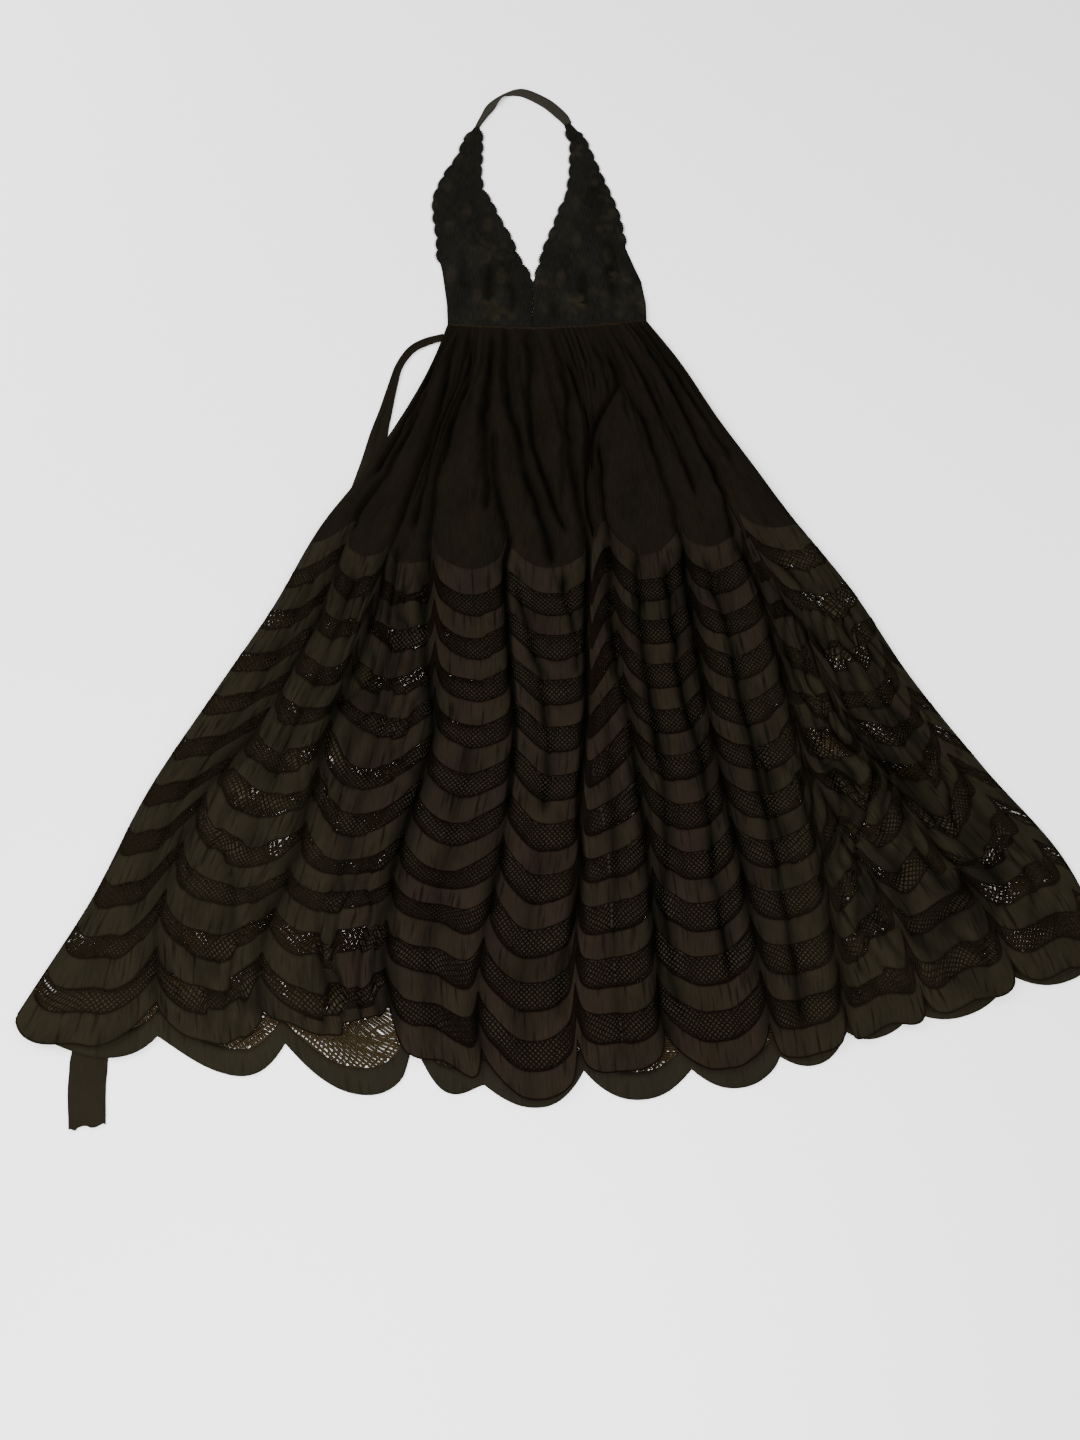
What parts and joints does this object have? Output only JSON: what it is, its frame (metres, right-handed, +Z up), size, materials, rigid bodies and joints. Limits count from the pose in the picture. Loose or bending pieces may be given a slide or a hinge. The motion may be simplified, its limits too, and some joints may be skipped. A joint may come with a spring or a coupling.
{
  "type": "sleeveless halter-neck maxi dress laid flat",
  "caption": "Long halter-neck dress with a gathered waist, scalloped lace skirt and side tie, laid flat on its back",
  "frame": {"origin": "middle of the ground plane under the laid dress", "axes": "+Z up from the ground, +Y from the hem to the neck, +X to the right of the dress as seen from above"},
  "size_m": [1.1868, 1.5089, 0.0178],
  "materials": {
    "plain_cloth": "crinkled matt gauze, near-black warm brown",
    "skirt_lace": "soft satin scallops between bands of open net",
    "bodice_lace": "lace over a dark lining, faint olive flowers",
    "strap_and_tie": "folded bias ribbon, slight sheen"
  },
  "bodies": {
    "root": {"skirt_front_top": "plain_cloth", "skirt_back_top": "plain_cloth", "back_band": "plain_cloth", "skirt_front_lace": "skirt_lace", "skirt_back_lace": "skirt_lace", "cup_left": "bodice_lace", "cup_right": "bodice_lace", "neck_strap": "strap_and_tie", "tie": "strap_and_tie"}
  },
  "joints": []
}
